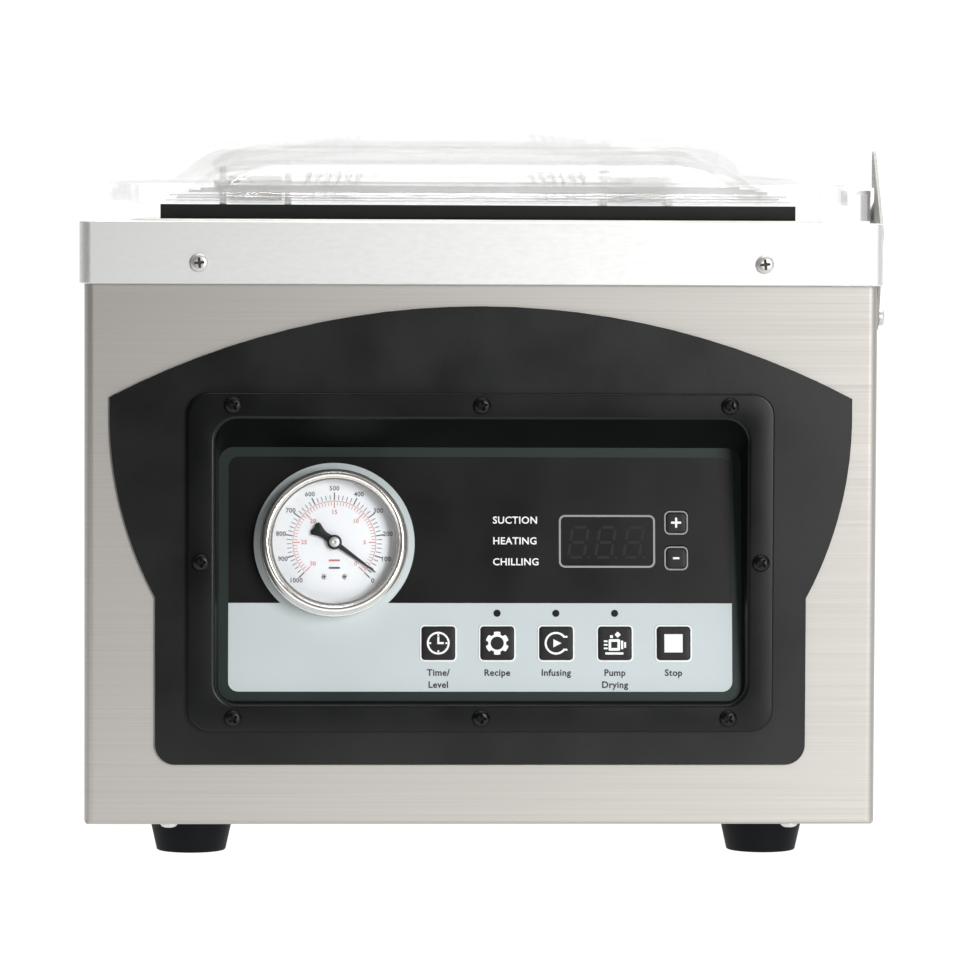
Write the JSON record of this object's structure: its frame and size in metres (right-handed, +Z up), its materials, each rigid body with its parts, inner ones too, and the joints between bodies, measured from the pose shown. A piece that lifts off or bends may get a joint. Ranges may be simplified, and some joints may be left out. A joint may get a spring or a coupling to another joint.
{
  "type": "vacuum packing machine",
  "caption": "Tabletop chamber vacuum packer: steel case with a black control panel and vacuum gauge, a seal bar in a pressed chamber, and a hinged clear domed lid.",
  "frame": {"origin": "on the floor plane under the feet, below the middle of the case", "axes": "+X to the machine's right seen from the front, +Y from the front to the rear, +Z up"},
  "size_m": [0.3382, 0.484, 0.3082],
  "materials": {
    "case_steel": "horizontally brushed stainless sheet",
    "chamber_steel": "satin stainless, deep drawn",
    "fascia_paint": "black fine-textured powder coat",
    "panel_moulding": "black moulded plastic, low sheen",
    "panel_overlay": "printed polyester overlay, black and light grey",
    "panel_print": "light grey printing on the overlay",
    "key_cap": "embossed black key with a light grey edge",
    "gauge_chrome": "polished chrome",
    "gauge_case": "plain steel case",
    "dial_face": "matt white with black and red scales",
    "needle_black": "matt black",
    "lens_clear": "clear flat glass",
    "lid_acrylic": "clear acrylic sheet, blow formed",
    "black_silicone": "black silicone",
    "pale_silicone": "translucent pale silicone",
    "foot_rubber": "black rubber",
    "machined_steel": "bright machined stainless steel",
    "screw_black": "black zinc",
    "screw_steel": "bright zinc",
    "bar_aluminium": "extruded aluminium with a woven tape over the wire",
    "filler_board": "white food-safe polyethylene",
    "circuit_board": "green circuit board",
    "pump_iron": "grey cast iron",
    "motor_paint": "blue machine enamel",
    "transformer_core": "varnished core and windings",
    "hose_rubber": "black suction hose",
    "valve_brass": "machined brass",
    "spring_steel": "spring wire",
    "inlet_plastic": "black moulded plastic",
    "rocker_plastic": "black gloss rocker",
    "fan_plastic": "black moulded fan"
  },
  "bodies": {
    "root": {"housing_shell": "case_steel", "base_pan": "case_steel", "rear_cover": "case_steel", "top_tray": "case_steel", "chamber_tub": "chamber_steel", "chamber_gasket": "pale_silicone", "filler_plate": "filler_board", "fascia_plate": "fascia_paint", "panel_frame": "panel_moulding", "control_panel": "panel_overlay", "control_board": "circuit_board", "gauge_case": "gauge_case", "gauge_bezel": "gauge_chrome", "gauge_dial": "dial_face", "gauge_lens": "lens_clear", "seal_cylinder_left": "machined_steel", "seal_cylinder_right": "machined_steel", "latch_screw": "screw_steel", "hinge_rod": "machined_steel", "mains_inlet": "inlet_plastic", "pump_motor": "motor_paint", "vacuum_pump": "pump_iron", "seal_transformer": "transformer_core", "valve_block": "valve_brass", "suction_hose": "hose_rubber", "hinge_bracket_left": "machined_steel", "hinge_spring_left": "spring_steel", "tray_screw_left": "screw_steel", "foot_front_left": "foot_rubber", "foot_rear_left": "foot_rubber", "hinge_bracket_right": "machined_steel", "hinge_spring_right": "spring_steel", "tray_screw_right": "screw_steel", "foot_front_right": "foot_rubber", "foot_rear_right": "foot_rubber", "frame_screw_1": "screw_black", "frame_screw_2": "screw_black", "frame_screw_3": "screw_black", "frame_screw_4": "screw_black", "frame_screw_5": "screw_black", "frame_screw_6": "screw_black", "frame_screw_7": "screw_black", "frame_screw_8": "screw_black"},
    "lid": {"lid_dome": "lid_acrylic", "counter_strip": "black_silicone", "hinge_arm_left": "machined_steel", "hinge_arm_right": "machined_steel", "lid_keeper": "machined_steel"},
    "latch": {"lid_latch": "machined_steel"},
    "sealer": {"seal_bar": "bar_aluminium"},
    "needle": {"gauge_needle": "needle_black"},
    "rocker": {"power_switch": "rocker_plastic"},
    "fan": {"motor_fan": "fan_plastic"},
    "time_key": {"key_time": "key_cap"},
    "preset_key": {"key_preset": "key_cap"},
    "marinate_key": {"key_marinate": "key_cap"},
    "pump_cleaning_key": {"key_pump_cleaning": "key_cap"},
    "stop_key": {"key_stop": "key_cap"},
    "plus_key": {"key_plus": "key_cap"},
    "minus_key": {"key_minus": "key_cap"}
  },
  "joints": [
    {"name": "lid_hinge", "type": "hinge", "parent": "root", "child": "lid", "pos_m": [0, 0.224, 0.283], "axis": [-1, 0, 0], "range_deg": [0, 60]},
    {"name": "latch_pivot", "type": "hinge", "parent": "root", "child": "latch", "pos_m": [0.168, -0.2, 0.2265], "axis": [-1, 0, 0], "range_deg": [0, 16]},
    {"name": "seal_bar_lift", "type": "slide", "parent": "root", "child": "sealer", "axis": [0, 0, 1], "range_m": [0, 0.009], "stiffness_N_per_m": 400},
    {"name": "gauge_needle_turn", "type": "hinge", "parent": "root", "child": "needle", "pos_m": [-0.0611, -0.23015, 0.13264], "axis": [0, -0.9914, 0.1305], "range_deg": [0, 261], "stiffness_Nm_per_rad": 0.0005},
    {"name": "time_key_press", "type": "slide", "parent": "root", "child": "time_key", "axis": [0, 0.9914, -0.1305], "range_m": [0, 0.0006], "stiffness_N_per_m": 400},
    {"name": "preset_key_press", "type": "slide", "parent": "root", "child": "preset_key", "axis": [0, 0.9914, -0.1305], "range_m": [0, 0.0006], "stiffness_N_per_m": 400},
    {"name": "marinate_key_press", "type": "slide", "parent": "root", "child": "marinate_key", "axis": [0, 0.9914, -0.1305], "range_m": [0, 0.0006], "stiffness_N_per_m": 400},
    {"name": "pump_cleaning_key_press", "type": "slide", "parent": "root", "child": "pump_cleaning_key", "axis": [0, 0.9914, -0.1305], "range_m": [0, 0.0006], "stiffness_N_per_m": 400},
    {"name": "stop_key_press", "type": "slide", "parent": "root", "child": "stop_key", "axis": [0, 0.9914, -0.1305], "range_m": [0, 0.0006], "stiffness_N_per_m": 400},
    {"name": "plus_key_press", "type": "slide", "parent": "root", "child": "plus_key", "axis": [0, 0.9914, -0.1305], "range_m": [0, 0.0006], "stiffness_N_per_m": 400},
    {"name": "minus_key_press", "type": "slide", "parent": "root", "child": "minus_key", "axis": [0, 0.9914, -0.1305], "range_m": [0, 0.0006], "stiffness_N_per_m": 400},
    {"name": "power_rocker", "type": "hinge", "parent": "root", "child": "rocker", "pos_m": [0.096, 0.2373, 0.073], "axis": [1, 0, 0], "range_deg": [0, 16]},
    {"name": "fan_spin", "type": "hinge", "parent": "root", "child": "fan", "pos_m": [0.04, 0.084, 0.092], "axis": [0, 1, 0], "continuous": true}
  ]
}
